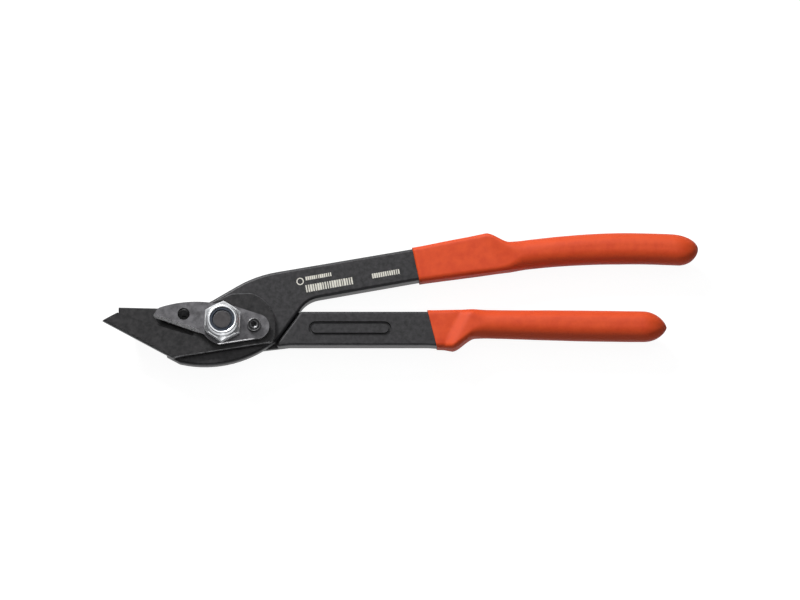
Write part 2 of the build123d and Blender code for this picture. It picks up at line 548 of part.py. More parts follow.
with BuildPart() as guide_plate:
    tail = (GUIDE_TAIL_X, GUIDE_TAIL_Y)
    tail_top, tail_end, tail_bottom = [
        (tail[0] + on_circle(GUIDE_TAIL_RADIUS, a)[0], tail[1] + on_circle(GUIDE_TAIL_RADIUS, a)[1])
        for a in GUIDE_TAIL_ANGLES]
    boss_right, boss_low, boss_left = [on_circle(GUIDE_BOSS_RADIUS, a) for a in GUIDE_BOSS_ANGLES]
    tip = (GUIDE_TIP_X, GUIDE_TIP_Y)
    with BuildSketch(Plane.XY.offset(z_guide)) as guide_outline:
        with BuildLine():
            Line(tip, GUIDE_NOSE)
            ThreePointArc(GUIDE_NOSE, GUIDE_CROWN, GUIDE_NECK)
            Polyline(GUIDE_NECK, GUIDE_SHOULDER, tail_top)
            ThreePointArc(tail_top, tail_end, tail_bottom)
            Line(tail_bottom, boss_right)
            ThreePointArc(boss_right, boss_low, boss_left)
            Line(boss_left, tip)
        make_face()
        for corner, radius in ((tip, GUIDE_TIP_RADIUS), (GUIDE_NOSE, GUIDE_NOSE_RADIUS),
                               (GUIDE_SHOULDER, GUIDE_SHOULDER_RADIUS)):
            fillet(guide_outline.vertices().sort_by_distance(corner)[0], radius)
    extrude(amount=GUIDE_THICKNESS)
    edge = Vector(boss_left[0] - tip[0], boss_left[1] - tip[1], 0)
    bevel_plane = Plane(origin=(*tip, z_nut), x_dir=(edge.Y, -edge.X, 0), z_dir=edge)
    with BuildSketch(bevel_plane.offset(-GUIDE_BEVEL)):
        with BuildLine():
            Polyline((-GUIDE_BEVEL, 0), (GUIDE_BEVEL, 2 * GUIDE_BEVEL), (GUIDE_BEVEL, -GUIDE_BEVEL),
                     (-GUIDE_BEVEL, -GUIDE_BEVEL), close=True)
        make_face()
    extrude(amount=edge.length + GUIDE_BEVEL - GUIDE_BEVEL_STOP, mode=Mode.SUBTRACT)
    tail_middle = ((tail_bottom[0] + boss_right[0]) / 2, (tail_bottom[1] + boss_right[1]) / 2, z_nut)
    tail_edge = guide_plate.edges().group_by(Axis.Z)[-1].sort_by_distance(tail_middle)[0]
    chamfer(tail_edge, PLATE_CHAMFER)
    with Locations((0, 0, z_nut)):
        Hole(pivot_hole, depth=GUIDE_THICKNESS)
    with Locations((GUIDE_SCREW_X, GUIDE_SCREW_Y, z_nut)):
        Hole(GUIDE_SCREW_DIAMETER / 2 + BORE_GAP, depth=GUIDE_THICKNESS)
    with Locations((GUIDE_HOLE_X, GUIDE_HOLE_Y, z_nut)):
        Hole(GUIDE_HOLE_DIAMETER / 2, depth=GUIDE_THICKNESS)
guide_plate.part.label = "guide_plate"
export_step(guide_plate.part, "parts/guide_plate.step")

# ---------------------------------------------------------------- pivot fasteners

hex_flat = HEX_ACROSS_FLATS / 2
hex_reach = 1.02 * HEX_ACROSS_FLATS / sqrt(3)       # just outside the hexagon's corners
corner_drop = (hex_reach - hex_flat) * tan(radians(HEX_CHAMFER_ANGLE))

with BuildPart() as pivot_bolt:
    nut_top = z_nut + NUT_HEIGHT
    pilot_start = z_nut + NUT_HEX_HEIGHT
    with BuildSketch():
        RegularPolygon(hex_flat, 6, major_radius=False, rotation=BOLT_HEX_TURN)
    extrude(amount=BOLT_HEAD_HEIGHT)
    with BuildSketch(Plane.XZ):
        with BuildLine():
            Polyline((0, 0), (hex_flat, 0), (hex_reach, corner_drop), (hex_reach, BOLT_HEAD_HEIGHT),
                     (0, BOLT_HEAD_HEIGHT), close=True)
        make_face()
    revolve(axis=Axis.Z, mode=Mode.INTERSECT)
    with BuildSketch(Plane.XY.offset(BOLT_HEAD_HEIGHT)):
        Circle(PIVOT_DIAMETER / 2)
    extrude(amount=pilot_start - BOLT_HEAD_HEIGHT)
    with BuildSketch(Plane.XY.offset(pilot_start)):
        Circle(pilot_radius)
    extrude(amount=nut_top - PILOT_RECESS - pilot_start)
    chamfer(pivot_bolt.edges().group_by(Axis.Z)[-1], PILOT_CHAMFER)
pivot_bolt.part.label = "pivot_bolt"
export_step(pivot_bolt.part, "parts/pivot_bolt.step")

with BuildPart() as pivot_washer:
    with BuildSketch(Plane.XY.offset(z_washer)):
        Circle(WASHER_DIAMETER / 2)
        Circle(pivot_hole, mode=Mode.SUBTRACT)
    extrude(amount=WASHER_THICKNESS)
    chamfer(pivot_washer.edges().group_by(Axis.Z)[0].sort_by(SortBy.RADIUS)[-1], GROUND_EDGE)
pivot_washer.part.label = "pivot_washer"
export_step(pivot_washer.part, "parts/pivot_washer.step")

insert_bottom = z_nut + NUT_HEX_HEIGHT
insert_top = z_nut + NUT_HEIGHT - COLLAR_LIP

with BuildPart() as lock_nut:
    with BuildSketch(Plane.XY.offset(z_nut)):
        RegularPolygon(hex_flat, 6, major_radius=False, rotation=HEX_TURN)
    extrude(amount=NUT_HEX_HEIGHT)
    with BuildSketch(Plane.XZ):
        with BuildLine():
            Polyline((0, z_nut), (hex_flat, z_nut), (hex_reach, z_nut + corner_drop),
                     (hex_reach, insert_bottom - NUT_CONE_HEIGHT),
                     (collar_radius + NUT_CONE_MARGIN, insert_bottom),
                     (0, insert_bottom), close=True)
        make_face()
    revolve(axis=Axis.Z, mode=Mode.INTERSECT)
    with BuildSketch(Plane.XY.offset(insert_bottom)):
        Circle(collar_radius)
    extrude(amount=NUT_HEIGHT - NUT_HEX_HEIGHT)
    fillet(lock_nut.edges().group_by(Axis.Z)[-1], COLLAR_ROUNDING)
    with Locations((0, 0, z_nut + NUT_HEIGHT)):
        Hole(pivot_hole + COLLAR_OPENING, depth=COLLAR_LIP)
    with Locations((0, 0, insert_top)):
        Hole(insert_radius, depth=insert_top - insert_bottom)
    with Locations((0, 0, insert_bottom)):
        Hole(pivot_hole, depth=NUT_HEX_HEIGHT)
lock_nut.part.label = "lock_nut"
export_step(lock_nut.part, "parts/lock_nut.step")

with BuildPart() as lock_nut_insert:
    with BuildSketch(Plane.XY.offset(insert_bottom)):
        Circle(insert_radius)
        Circle(pilot_radius + BORE_GAP, mode=Mode.SUBTRACT)
    extrude(amount=insert_top - insert_bottom)
lock_nut_insert.part.label = "lock_nut_insert"
export_step(lock_nut_insert.part, "parts/lock_nut_insert.step")

# ---------------------------------------------------------------- screws

with BuildPart() as guide_screw:
    here = (GUIDE_SCREW_X, GUIDE_SCREW_Y)
    with BuildSketch(Plane.XY.offset(z_nut)):
        with Locations(here):
            Circle(GUIDE_SCREW_HEAD_DIAMETER / 2)
    extrude(amount=GUIDE_SCREW_HEAD_HEIGHT)
    fillet(guide_screw.edges().group_by(Axis.Z)[-1], GUIDE_SCREW_HEAD_ROUNDING)
    with BuildSketch(Plane.XY.offset(z_nut + GUIDE_SCREW_HEAD_HEIGHT)):
        with Locations(here):
            RegularPolygon(GUIDE_SCREW_SOCKET / 2, 6, major_radius=False)
    extrude(amount=-GUIDE_SCREW_HEAD_HEIGHT / 2, mode=Mode.SUBTRACT)
    with BuildSketch(Plane.XY.offset(z_foot - GUIDE_SCREW_REACH)):
        with Locations(here):
            Circle(GUIDE_SCREW_DIAMETER / 2)
    extrude(amount=z_nut - z_foot + GUIDE_SCREW_REACH)
guide_screw.part.label = "guide_screw"
export_step(guide_screw.part, "parts/guide_screw.step")

with BuildPart() as blade_screws:
    head_top = z_blade_top - BLADE_SCREW_SINK
    head_height = (BLADE_SCREW_HEAD_DIAMETER - BLADE_SCREW_DIAMETER) / 2
    for x in BLADE_SCREW_X:
        with BuildSketch(Plane((x, BLADE_SCREW_Y, 0), x_dir=(1, 0, 0), z_dir=(0, -1, 0))):
            with BuildLine():
                Polyline((0, z_lap - BLADE_SCREW_REACH),
                         (BLADE_SCREW_DIAMETER / 2, z_lap - BLADE_SCREW_REACH),
                         (BLADE_SCREW_DIAMETER / 2, head_top - head_height),
                         (BLADE_SCREW_HEAD_DIAMETER / 2, head_top), (0, head_top), close=True)
            make_face()
        revolve(axis=Axis((x, BLADE_SCREW_Y, 0), (0, 0, 1)))
    with BuildSketch(Plane.XY.offset(head_top)):
        with Locations(*[(x, BLADE_SCREW_Y) for x in BLADE_SCREW_X]):
            RegularPolygon(BLADE_SCREW_SOCKET / 2, 6, major_radius=False)
    extrude(amount=-head_height, mode=Mode.SUBTRACT)
blade_screws.part.label = "blade_screws"
export_step(blade_screws.part, "parts/blade_screws.step")

# ---------------------------------------------------------------- grips

upper_grip_body, lower_grip_body = grip_body(upper_lever), grip_body(lower_lever)

with BuildPart() as upper_grip:
    add(upper_grip_body)
    add(upper_handle.part, mode=Mode.SUBTRACT)
upper_grip.part.label = "upper_grip"
export_step(upper_grip.part, "parts/upper_grip.step")

with BuildPart() as lower_grip:
    add(lower_grip_body)
    add(lower_handle.part, mode=Mode.SUBTRACT)
lower_grip.part.label = "lower_grip"
export_step(lower_grip.part, "parts/lower_grip.step")
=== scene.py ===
"""Looks of a steel-strap cutter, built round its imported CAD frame.

Two crossed forged levers turn on one pivot bolt. The levers, blades, plate, bolt and washer keep
the frame's own meshes and get their finishes here. The dipped grips, the lock nut, the guide
screw and the printed marks are built here, in the frame's metres.
"""

import logging
import math
from dataclasses import dataclass, field
from enum import Enum
from typing import Optional, Sequence, Union

import bmesh
import bpy
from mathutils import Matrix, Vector, noise


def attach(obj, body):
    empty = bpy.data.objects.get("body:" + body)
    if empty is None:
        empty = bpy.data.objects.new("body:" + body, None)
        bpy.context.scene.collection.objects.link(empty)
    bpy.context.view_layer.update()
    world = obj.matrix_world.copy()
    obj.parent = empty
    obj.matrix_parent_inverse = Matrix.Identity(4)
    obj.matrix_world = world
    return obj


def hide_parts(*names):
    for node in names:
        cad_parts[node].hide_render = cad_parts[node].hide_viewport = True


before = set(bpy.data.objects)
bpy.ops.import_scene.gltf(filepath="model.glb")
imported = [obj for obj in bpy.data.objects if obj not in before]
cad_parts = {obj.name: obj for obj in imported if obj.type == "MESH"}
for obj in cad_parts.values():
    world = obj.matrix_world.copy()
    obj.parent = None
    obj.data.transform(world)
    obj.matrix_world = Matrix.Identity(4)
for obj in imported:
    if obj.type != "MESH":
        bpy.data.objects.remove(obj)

MM = 0.001
LIP_ROLL = 0.45  # radius of a grip's rolled lip, in millimetres
WHOLE_HEXAGON = 99.0  # a radius past every corner, so that no corner is rounded
STREAK = 0.12  # how much rougher a finish is on its patches
LOG = logging.getLogger("strap_cutter")

Point2 = tuple[float, float]
SocketValue = Union[float, int, str, Sequence[float], bpy.types.NodeSocket, bpy.types.Material]


class Body(str, Enum):
    """The frame's two rigid bodies."""

    UPPER = "upper_lever"
    LOWER = "lower_lever"


class Slot(str, Enum):
    """Names of material slots for the pieces built here; nothing in the script uses them."""

    ZINC = "zinc_plate"
    SCREW = "black_screw"
    GRIP = "grip_vinyl"


class Side(Enum):
    """Which way is outward across a lever's bar, against the frame's +Y."""

    UPPER = 1
    LOWER = -1


# ---------------------------------------------------------------- node and mesh helpers


def srgb(code: str) -> tuple[float, float, float, float]:
    """Turn an sRGB hex colour into linear RGBA.

    Args:
        code: the colour as "#rrggbb".

    Returns:
        Linear red, green, blue and an alpha of 1.
    """
    parts = [int(code[i:i + 2], 16) / 255 for i in (1, 3, 5)]
    linear = [p / 12.92 if p <= 0.04045 else ((p + 0.055) / 1.055) ** 2.4 for p in parts]
    return (linear[0], linear[1], linear[2], 1.0)


def add_node(
    tree: bpy.types.NodeTree,
    kind: str,
    inputs: Optional[dict[Union[str, int], SocketValue]] = None,
    **settings: Union[str, bool, float],
) -> bpy.types.Node:
    """Add a node to a tree, with its settings and links.

    Args:
        tree: the tree that it goes in.
        kind: the node's type name.
        inputs: for each input by name or number, its value, or the output that feeds it.
        settings: the node's own attributes.

    Returns:
        The new node.
    """
    node = tree.nodes.new(kind)
    for key, value in settings.items():
        setattr(node, key, value)
    for key, value in (inputs or {}).items():
        if isinstance(value, bpy.types.NodeSocket):
            tree.links.new(value, node.inputs[key])
        else:
            node.inputs[key].default_value = value
    return node


def smooth(t: float) -> float:
    """A step from 0 to 1 that starts and ends level.

    Args:
        t: how far along the step.

    Returns:
        The step's height there.
    """
    t = min(max(t, 0.0), 1.0)
    return t * t * (3 - 2 * t)


def object_from(bm: bmesh.types.BMesh, name: str, sharp_angle: float = 180.0) -> bpy.types.Object:
    """Make an object at the origin from a closed mesh, with its faces turned outwards.

    Args:
        bm: the mesh in the frame's metres, which is freed.
        name: the object's name.
        sharp_angle: edges that turn by more than this many degrees stay sharp.

    Returns:
        The object, in the scene.
    """
    bmesh.ops.remove_doubles(bm, verts=bm.verts, dist=1e-7)
    bmesh.ops.recalc_face_normals(bm, faces=bm.faces)
    mesh = bpy.data.meshes.new(name)
    bm.to_mesh(mesh)
    bm.free()
    mesh.shade_smooth()
    if sharp_angle < 180:
        mesh.set_sharp_from_angle(angle=math.radians(sharp_angle))
    made = bpy.data.objects.new(name, mesh)
    bpy.context.scene.collection.objects.link(made)
    return made


def dress(piece: bpy.types.Object, material: bpy.types.Material) -> None:
    """Give a piece one material in place of any it has.

    Args:
        piece: the mesh object.
        material: its new material.
    """
    piece.data.materials.clear()
    piece.data.materials.append(material)


# ---------------------------------------------------------------- finishes


@dataclass(frozen=True)
class Finish:
    """A material made from nodes on the piece's own object coordinates.

    Attributes:
        name: the material's name.
        face: sRGB colour of the plain surface.
        shade: sRGB colour of its darker patches.
        edge: sRGB colour of bevelled and rounded edges, partly wear from rubbing and partly a painted
            highlight where edges catch the light.
        metallic: how metallic the shader is.
        roughness: of the plain surface.
        edge_roughness: of the edges.
        patch_mm: size of the darker patches.
        grit_mm: size of the finest relief.
        grit_depth_mm: height of that relief.
        swell_mm: size of the broad unevenness.
        swell_depth_mm: height of that unevenness.
        brush: how many times longer than wide the relief's grain is, along the bar.
        specular: strength of a non-metal's mirror reflection.
    """

    name: str
    face: str
    shade: str
    edge: str
    metallic: float
    roughness: float
    edge_roughness: float
    patch_mm: float = 9.0
    grit_mm: float = 0.5
    grit_depth_mm: float = 0.01
    swell_mm: float = 6.0
    swell_depth_mm: float = 0.02
    brush: float = 1.0
    specular: float = 0.5

    def noise(
        self, tree: bpy.types.NodeTree, place: bpy.types.NodeSocket, size_mm: float, detail: float
    ) -> bpy.types.NodeSocket:
        """A noise whose features are about that many millimetres across.

        Args:
            tree: the material's tree.
            place: the coordinates that it follows.
            size_mm: size of its features.
            detail: how many finer layers it has.

        Returns:
            The noise's strength.
        """
        made = add_node(tree, "ShaderNodeTexNoise", {
            "Vector": place, "Scale": 1 / (size_mm * MM), "Detail": detail, "Roughness": 0.6})
        return made.outputs["Fac"]

    def edge_mask(self, tree: bpy.types.NodeTree, coordinates: bpy.types.Node) -> bpy.types.NodeSocket:
        """Find the faces that lean between flat and upright, which are the bevels and roundings.

        Args:
            tree: the material's tree.
            coordinates: its Texture Coordinate node.

        Returns:
            1 on those faces and 0 elsewhere.
        """
        lean = add_node(tree, "ShaderNodeSeparateXYZ", {"Vector": coordinates.outputs["Normal"]})
        size = add_node(tree, "ShaderNodeMath", {0: lean.outputs["Z"]}, operation="ABSOLUTE")
        rise = add_node(tree, "ShaderNodeMapRange", {
            "Value": size.outputs[0], "From Min": 0.1, "From Max": 0.35})
        fall = add_node(tree, "ShaderNodeMapRange", {
            "Value": size.outputs[0], "From Min": 0.97, "From Max": 0.86})
        both = add_node(tree, "ShaderNodeMath", {
            0: rise.outputs[0], 1: fall.outputs[0]}, operation="MULTIPLY")
        return both.outputs[0]

    def material(self) -> bpy.types.Material:
        """Build the node material.

        Returns:
            The material, new or already made under this name.
        """
        found = bpy.data.materials.get(self.name)
        if found is not None:
            return found
        made = bpy.data.materials.new(self.name)
        made.use_nodes = True
        tree = made.node_tree
        tree.nodes.clear()
        coordinates = add_node(tree, "ShaderNodeTexCoord")
        place = add_node(tree, "ShaderNodeMapping", {
            "Vector": coordinates.outputs["Object"], "Scale": (1 / self.brush, 1.0, 1.0)})
        patches = self.noise(tree, coordinates.outputs["Object"], self.patch_mm, 4.0)
        spread = add_node(tree, "ShaderNodeMapRange", {"Value": patches, "From Min": 0.32, "From Max": 0.68})
        body = add_node(tree, "ShaderNodeMix", {
            "Factor": spread.outputs[0], "A": srgb(self.shade), "B": srgb(self.face)}, data_type="RGBA")
        mask = self.edge_mask(tree, coordinates)
        grit = self.noise(tree, place.outputs[0], self.grit_mm, 3.0)
        edge_spots = add_node(tree, "ShaderNodeMapRange", {"Value": grit, "From Min": 0.3, "From Max": 0.6})
        # painted highlight: bevels and roundings get the paler edge colour, broken into spots; it is partly
        # wear from rubbing and partly stands in for the light that edges catch
        edge_wear_and_highlight = add_node(tree, "ShaderNodeMath", {0: mask, 1: edge_spots.outputs[0]}, operation="MULTIPLY")
        colour = add_node(tree, "ShaderNodeMix", {
            "Factor": edge_wear_and_highlight.outputs[0], "A": body.outputs["Result"], "B": srgb(self.edge)}, data_type="RGBA")
        rough = add_node(tree, "ShaderNodeMapRange", {
            "Value": edge_wear_and_highlight.outputs[0], "To Min": self.roughness, "To Max": self.edge_roughness})
        streak = add_node(tree, "ShaderNodeMath", {
            0: patches, 1: STREAK, 2: rough.outputs[0]}, operation="MULTIPLY_ADD")
        swell = self.noise(tree, coordinates.outputs["Object"], self.swell_mm, 2.0)
        broad = add_node(tree, "ShaderNodeBump", {
            "Height": swell, "Strength": 1.0, "Distance": self.swell_depth_mm * MM})
        fine = add_node(tree, "ShaderNodeBump", {
            "Height": grit, "Strength": 1.0, "Distance": self.grit_depth_mm * MM, "Normal": broad.outputs[0]})
        shader = add_node(tree, "ShaderNodeBsdfPrincipled", {
            "Base Color": colour.outputs["Result"],
            "Metallic": self.metallic,
            "Roughness": streak.outputs[0],
            "Specular IOR Level": self.specular,
            "Normal": fine.outputs[0],
        })
        add_node(tree, "ShaderNodeOutputMaterial", {"Surface": shader.outputs[0]})
        return made


# Drop-forged carbon steel under black oxide: a satin near-black skin, mottled by the forging scale.
# The real scale is finer than this; the patches are drawn coarser so that they show.
FORGED_STEEL = Finish(
    "forged_black_oxide", "#3b3a3c", "#262627", "#3c3c3e", 0.55, 0.42, 0.36,
    patch_mm=2.2, grit_mm=0.6, grit_depth_mm=0.014, swell_mm=5, swell_depth_mm=0.012)
# Hardened tool steel, blackened after grinding: darker, with grinding lines and paler bevels; the pale bevels
# are partly wear and partly a painted highlight.
# The lines are drawn coarser than real ones so that they show.
BLADE_STEEL = Finish(
    "blackened_tool_steel", "#343334", "#1c1c1d", "#5e5e60", 0.6, 0.42, 0.3,
    patch_mm=2.5, grit_mm=0.6, grit_depth_mm=0.012, swell_mm=3, swell_depth_mm=0.01, brush=4)
# Spring-steel plate, surface-ground and thinly blackened: mid grey; its near-white bevels are partly bare
# ground steel and partly a painted highlight
GUIDE_STEEL = Finish(
    "ground_spring_steel", "#6f6e71", "#4a494b", "#e4e3e5", 0.75, 0.36, 0.26,
    patch_mm=3.5, grit_mm=0.25, grit_depth_mm=0.006, swell_mm=2.5, swell_depth_mm=0.008, brush=6)
# Quenched and oiled bolt steel: dark; its pale turned chamfer is partly bare metal and partly a painted
# highlight
BOLT_STEEL = Finish(
    "oiled_bolt_steel", "#4f4d4e", "#3c3a3b", "#c4c6cc", 0.8, 0.40, 0.2,
    patch_mm=2.5, grit_mm=0.3, grit_depth_mm=0.005)
# Zinc electroplate, clear passivated: bright silver with a slight haze
ZINC = Finish(
    "bright_zinc_plate", "#e9ebee", "#d9dcdf", "#f4f5f7", 1.0, 0.30, 0.24,
    patch_mm=4, grit_mm=0.25, grit_depth_mm=0.002, swell_mm=2, swell_depth_mm=0.004)
# Nylon 66 ring, dyed: dark blue and waxy
NYLON = Finish(
    "dyed_nylon", "#1b2a3d", "#152131", "#22344a", 0.0, 0.36, 0.34,
    patch_mm=3, grit_mm=0.4, grit_depth_mm=0.004)
# Alloy-steel screws, black oxide and oil: near black; the pale edges are partly wear from rubbing and partly
# a painted highlight
SCREW = Finish(
    "black_oxide_screw", "#232324", "#1a1a1b", "#b9b9bb", 0.7, 0.34, 0.22,
    patch_mm=2, grit_mm=0.3, grit_depth_mm=0.004)
# Plastisol vinyl, hot-dipped: soft orange-red with an orange-peel skin, coarser than real to show
VINYL = Finish(
    "dipped_vinyl", "#dc4f22", "#cf4219", "#dc4f22", 0.0, 0.55, 0.55,
    specular=0.3, patch_mm=5, grit_mm=0.8, grit_depth_mm=0.03, swell_mm=9, swell_depth_mm=0.05)
# Pad-printed ink: thin, matt and slightly cream
INK = Finish(
    "pad_print_ink", "#dcd9cf", "#cfccc2", "#dcd9cf", 0.0, 0.6, 0.6,
    patch_mm=2, grit_mm=0.3, grit_depth_mm=0.003)


# ---------------------------------------------------------------- grips


@dataclass(frozen=True)
class Grip:
    """A dipped grip on a lever's bar end. Sizes are millimetres; angles are degrees.

    Distances along run from the guard's peak, and distances out from the bar's inner edge.
    """

    node: str
    body: Body
    side: Side
    bar_angle: float
    bar_inner: float
    bar_width: float
    guard_at: float
    lip: float
    lip_tilt: float
    setback: float
    lean: float
    turn: float
    nose_shift: float
    length: float
    crease_at: float
    crease_slope: float
    crease_span: float
    nose_power: float
    bar_half: float = 5.275
    bar_middle: float = 14.275
    fall: float = 12.0
    rise: float = 0.8
    wall: float = 0.95
    neck: float = 14.3
    belly_swell: float = 1.3
    belly_length: float = 60.0
    half_depth: float = 8.2
    nose: float = 12.0
    shank_radius: float = 5.6
    shank_cover: float = 6.0
    corner_steps: int = 10
    side_steps: int = 5

    def place(self, along: float, out: float, up: float) -> Vector:
        """Turn a place beside the bar into the frame.

        Args:
            along: along the bar from the pivot.
            out: out from the bar's inner edge.
            up: above the table.

        Returns:
            The point in the frame, in metres.
        """
        a = math.radians(self.bar_angle)
        across = self.bar_inner + self.side.value * out
        x = along * math.cos(a) - across * math.sin(a)
        y = along * math.sin(a) + across * math.cos(a)
        return Vector((x, y, up)) * MM

    def axis(self, distance: float) -> float:
        """Find the barrel's centre line.

        Args:
            distance: from the guard's peak.

        Returns:
            How far out it is.
        """
        reach = distance - self.fall
        bend = math.radians(self.turn) * max(reach, 0) ** 2 / (2 * (self.length - self.fall))
        return self.neck / 2 - self.setback + math.tan(math.radians(self.lean)) * reach + bend

    def sides(self, distance: float) -> Point2:
        """Find the outer skin's two sides.

        Args:
            distance: from the guard's peak.

        Returns:
            How far out its inner and its outer side are.
        """
        swell = self.belly_swell * smooth((distance - self.fall) / self.belly_length)
        nose = max(distance - self.length + self.nose, 0) / self.nose
        half = (self.neck + swell) / 2 * max(1 - nose ** 2, 0) ** self.nose_power
        centre = self.axis(distance) + self.nose_shift * nose ** 2
        if distance >= self.fall:
            return (centre - half, centre + half)
        from_lip = (distance + self.lip) / (self.fall + self.lip)
        inner = -self.wall + (self.wall - self.setback) * from_lip
        crest = self.bar_width + self.wall + self.rise * min((distance + self.lip) / self.lip, 1)
        return (inner, crest + (centre + half - crest) * smooth(distance / self.fall))

    def depth_at(self, distance: float, out: float) -> float:
        """Find half of the skin's depth: shallow over the flat bar and deep past the slanting crease.

        Args:
            distance: from the guard's peak.
            out: out from the bar's inner edge.

        Returns:
            Half of the depth there.
        """
        flat = self.bar_half + self.wall
        past = distance - self.crease_at + self.crease_slope * out
        swell = smooth(past / self.crease_span)
        dip = 1.6 / self.crease_span * math.exp(-(past / 0.25 / self.crease_span) ** 2)
        nose = max(distance - self.length + self.nose, 0) / self.nose
        return (flat + (self.half_depth - flat) * swell - dip) * max(1 - nose ** 2, 0) ** self.nose_power

    def roundness(self, distance: float) -> float:
        """Find how round the skin's corners are.

        Args:
            distance: from the guard's peak.

        Returns:
            Corner radius over half depth.
        """
        return 0.42 + 0.42 * smooth((distance - 7) / self.fall)

    def ring(self, low: float, high: float, half: float, corner: float) -> list[Point2]:
        """A rounded rectangle's points.

        Args:
            low: inner side.
            high: outer side.
            half: half depth.
            corner: corner radius.

        Returns:
            Points (out, up) round the section, the same number for every section.
        """
        corner = max(min(corner, (high - low) / 2, half), 1e-4)
        points: list[Point2] = []
        left, right, lift = low + corner, high - corner, half - corner
        centres = ((right, lift), (left, lift), (left, -lift), (right, -lift))
        for quarter, (x, z) in enumerate(centres):
            for step in range(self.corner_steps + 1):
                angle = math.radians(90 * quarter + 90 * step / self.corner_steps)
                points.append((x + corner * math.cos(angle), z + corner * math.sin(angle)))
            following = centres[(quarter + 1) % 4]
            turn = math.radians(90 * quarter + 90)
            start = points[-1]
            end = (following[0] + corner * math.cos(turn), following[1] + corner * math.sin(turn))
            for step in range(1, self.side_steps):
                t = step / self.side_steps
                points.append((start[0] + (end[0] - start[0]) * t, start[1] + (end[1] - start[1]) * t))
        return points

    def lip_shift(self, out: float) -> float:
        """Find how the slanting lip lies.

        Args:
            out: out from the bar's inner edge.

        Returns:
            How far along the bar it is from its own middle.
        """
        return -math.tan(math.radians(self.lip_tilt)) * (out - self.bar_width / 2)

    def skin_ring(self, distance: float, inset: float = 0.0) -> list[Vector]:
        """Draw the outer skin's section.

        Args:
            distance: from the guard's peak.
            inset: how far it is drawn in.

        Returns:
            Its points in the frame.
        """
        low, high = self.sides(distance)
        mid = (low + high) / 2
        half = self.depth_at(distance, mid)
        flat = self.ring(low + inset, high - inset, half - inset, self.roundness(distance) * half)
        fade = min(distance + self.lip, 4) / 4
        blend = smooth(-(distance + self.lip) / 12 + 1)
        points = []
        for out, up in flat:
            along = distance + self.lip_shift(out) * blend
            scale = self.depth_at(distance, out) / half
            here = self.place(self.guard_at + along, out, self.bar_middle + up * scale)
            wave = noise.noise(here / (11 * MM)) * 0.07 + noise.noise(here / (4 * MM)) * 0.03 - 0.10
            core = self.place(self.guard_at + along, mid, self.bar_middle)
            points.append(here + (here - core).normalized() * wave * MM * fade)
        return points

    def bore_ring(self, distance: float) -> list[Vector]:
        """Draw the inner wall's section, round the bar and then round the shank.

        Args:
            distance: from the guard's peak.

        Returns:
            Its points in the frame.
        """
        t = smooth((distance + 1) / (self.fall - 1))
        centre = self.axis(max(distance, self.fall))
        low = (centre - self.shank_radius) * t
        high = self.bar_width + (centre + self.shank_radius - self.bar_width) * t
        half = self.bar_half + (self.shank_radius - self.bar_half) * t
        blend = smooth(-(distance + self.lip) / 12 + 1)
        return [
            self.place(self.guard_at + distance + self.lip_shift(out) * blend, out, self.bar_middle + up)
            for out, up in self.ring(low, high, half, 1.0 + (self.shank_radius - 1.0) * t)
        ]

    def build(self) -> bpy.types.Object:
        """Build the sleeve as one closed skin, from its bore's end round the lip to its nose.

        Returns:
            The grip, riding on its body in place of its CAD node.
        """
        flat = [self.lip * (i / 26) - self.lip for i in range(1, 26)]
        guard = [self.fall * i / 22 for i in range(23)]
        barrel_end = self.length - self.nose
        barrel = [self.fall + (barrel_end - self.fall) * i / 44 for i in range(1, 45)]
        tip = [barrel_end + self.nose * math.sin(math.radians(a)) for a in range(5, 90, 5)]
        bore_end = self.length - self.shank_cover - 8
        bore = (bore_end, self.fall + 30, self.fall + 4, self.fall, 8, 5, 2, -1, -self.lip * 0.5, -self.lip)
        rings = [self.bore_ring(d) for d in bore]
        for turn in range(0, 100, 15):
            roll = LIP_ROLL * (1 - math.sin(math.radians(min(turn, 90))))
            rings.append(self.skin_ring(-self.lip + roll, roll if turn else self.wall - 0.2))
        rings += [self.skin_ring(d) for d in flat + guard + barrel + tip]
        bm = bmesh.new()
        loops = [[bm.verts.new(p) for p in ring] for ring in rings]
        for one, two in zip(loops, loops[1:]):
            count = len(one)
            for i in range(count):
                bm.faces.new((one[i], one[(i + 1) % count], two[(i + 1) % count], two[i]))
        for loop, end in ((loops[0], bore_end), (loops[-1], self.length)):
            low, high = self.sides(end)
            pole = bm.verts.new(self.place(self.guard_at + end, (low + high) / 2, self.bar_middle))
            for i, vert in enumerate(loop):
                bm.faces.new((vert, loop[(i + 1) % len(loop)], pole))
        made = object_from(bm, self.node + "_skin")
        dress(made, VINYL.material())
        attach(made, self.body.value)
        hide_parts(self.node)
        return made


UPPER_GRIP = Grip(
    "upper_grip", Body.UPPER, Side.UPPER,
    bar_angle=10.1, bar_inner=5.75, bar_width=16.4, guard_at=140.3, lip=37.7,
    lip_tilt=2.0, neck=14.75, setback=3.05,
    lean=-2.0, turn=-13.0, nose_shift=1.7, length=106.4, crease_at=3.5, crease_slope=0.53,
    crease_span=17.0, nose_power=0.56)
LOWER_GRIP = Grip(
    "lower_grip", Body.LOWER, Side.LOWER,
    bar_angle=0.0, bar_inner=7.3, bar_width=17.5, guard_at=117.1, lip=10.2,
    lip_tilt=-14.2, setback=1.5,
    lean=1.2, turn=-0.6, nose_shift=0.4, length=109.9, crease_at=4.2, crease_slope=0.53,
    crease_span=7.0, nose_power=0.68)


# ---------------------------------------------------------------- turned fasteners


